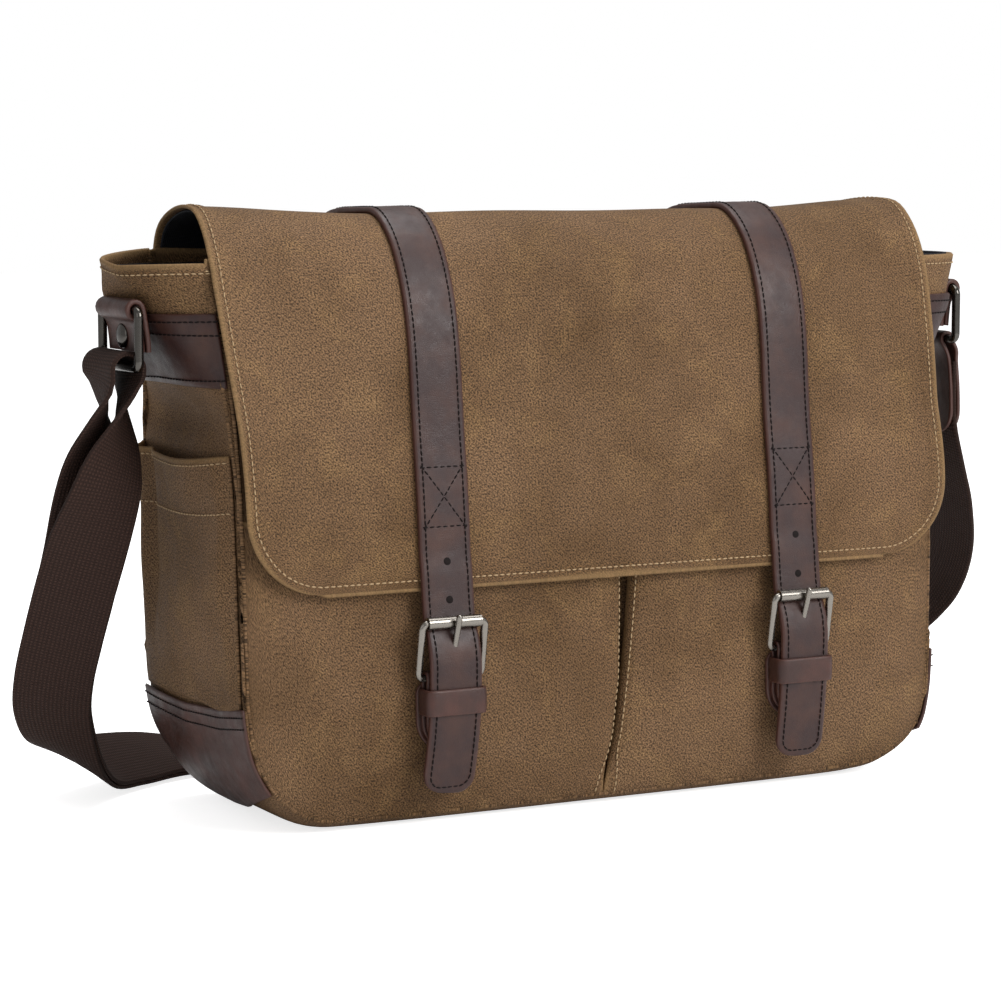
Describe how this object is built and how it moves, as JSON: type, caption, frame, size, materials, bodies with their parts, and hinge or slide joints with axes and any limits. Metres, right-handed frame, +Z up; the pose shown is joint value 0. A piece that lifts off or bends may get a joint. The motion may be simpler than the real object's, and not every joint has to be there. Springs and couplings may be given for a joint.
{
  "type": "messenger bag",
  "caption": "Soft messenger bag with a full front flap, buckled leather straps, front and side pockets, a padded laptop divider and a webbing shoulder strap.",
  "frame": {"origin": "on the floor, under the middle of the bag's body", "axes": "+X to the right seen from the front, +Y to the back, +Z up"},
  "size_m": [0.5429, 0.2331, 0.2999],
  "materials": {
    "waxed_canvas": "waxed cotton twill",
    "lining_cloth": "plain woven lining",
    "board": "fibre board",
    "webbing": "heavy cotton webbing",
    "leather": "oiled, waxed",
    "brushed_nickel": "brushed",
    "gunmetal": "smoked, polished"
  },
  "bodies": {
    "bag": {"front_panel": "waxed_canvas", "back_panel": "waxed_canvas", "base_panel": "waxed_canvas", "lining": "lining_cloth", "base_board": "board", "laptop_sleeve": "lining_cloth", "gusset_left": "waxed_canvas", "front_pocket_left": "waxed_canvas", "side_pocket_left": "waxed_canvas", "corner_patch_left": "leather", "side_band_left": "leather", "ring_roll_left": "leather", "ring_rivet_left": "gunmetal", "snap_tab_left": "leather", "snap_socket_left": "gunmetal", "gusset_right": "waxed_canvas", "front_pocket_right": "waxed_canvas", "side_pocket_right": "waxed_canvas", "corner_patch_right": "leather", "side_band_right": "leather", "ring_roll_right": "leather", "ring_rivet_right": "gunmetal", "snap_tab_right": "leather", "snap_socket_right": "gunmetal"},
    "flap": {"flap_outer": "waxed_canvas", "flap_lining": "lining_cloth", "flap_strap_left": "leather", "chape_left": "leather", "snap_stud_left": "gunmetal", "flap_strap_right": "leather", "chape_right": "leather", "snap_stud_right": "gunmetal"},
    "strap": {"shoulder_strap": "webbing", "strap_tail": "webbing", "strap_slide": "gunmetal"},
    "ring_left": {"ring_left": "gunmetal", "strap_loop_left": "webbing"},
    "ring_right": {"ring_right": "gunmetal", "strap_tab_right": "leather", "strap_end_right": "webbing"},
    "keeper_left": {"keeper_left": "leather"},
    "buckle_left": {"buckle_frame_left": "brushed_nickel"},
    "roller_left": {"buckle_roller_left": "brushed_nickel"},
    "prong_left": {"buckle_prong_left": "brushed_nickel"},
    "keeper_right": {"keeper_right": "leather"},
    "buckle_right": {"buckle_frame_right": "brushed_nickel"},
    "roller_right": {"buckle_roller_right": "brushed_nickel"},
    "prong_right": {"buckle_prong_right": "brushed_nickel"}
  },
  "joints": [
    {"name": "flap_lift", "type": "hinge", "parent": "bag", "child": "flap", "pos_m": [0, 0.047, 0.262], "axis": [-1, 0, 0], "range_deg": [0, 155]},
    {"name": "strap_swing", "type": "hinge", "parent": "bag", "child": "strap", "pos_m": [0, 0, 0.2199], "axis": [1, 0, 0], "range_deg": [0, 150]},
    {"name": "ring_left_swing", "type": "hinge", "parent": "bag", "child": "ring_left", "pos_m": [-0.2275, 0, 0.247], "axis": [0, 1, 0], "range_deg": [0, 25]},
    {"name": "ring_right_swing", "type": "hinge", "parent": "bag", "child": "ring_right", "pos_m": [0.236, 0, 0.247], "axis": [0, -1, 0], "range_deg": [0, 25]},
    {"name": "buckle_tilt_left", "type": "hinge", "parent": "flap", "child": "buckle_left", "pos_m": [-0.0925, -0.0735, 0.073], "axis": [1, 0, 0], "range_deg": [0, 6]},
    {"name": "roller_spin_left", "type": "hinge", "parent": "buckle_left", "child": "roller_left", "pos_m": [-0.0925, -0.0779, 0.0995], "axis": [1, 0, 0], "continuous": true},
    {"name": "prong_lift_left", "type": "hinge", "parent": "buckle_left", "child": "prong_left", "pos_m": [-0.0925, -0.0735, 0.073], "axis": [1, 0, 0], "range_deg": [0, 5]},
    {"name": "keeper_slide_left", "type": "slide", "parent": "flap", "child": "keeper_left", "axis": [0, 0, 1], "range_m": [-0.002, 0.001]},
    {"name": "buckle_tilt_right", "type": "hinge", "parent": "flap", "child": "buckle_right", "pos_m": [0.104, -0.0735, 0.073], "axis": [1, 0, 0], "range_deg": [0, 6]},
    {"name": "roller_spin_right", "type": "hinge", "parent": "buckle_right", "child": "roller_right", "pos_m": [0.104, -0.0779, 0.0995], "axis": [1, 0, 0], "continuous": true},
    {"name": "prong_lift_right", "type": "hinge", "parent": "buckle_right", "child": "prong_right", "pos_m": [0.104, -0.0735, 0.073], "axis": [1, 0, 0], "range_deg": [0, 5]},
    {"name": "keeper_slide_right", "type": "slide", "parent": "flap", "child": "keeper_right", "axis": [0, 0, 1], "range_m": [-0.002, 0.001]}
  ]
}
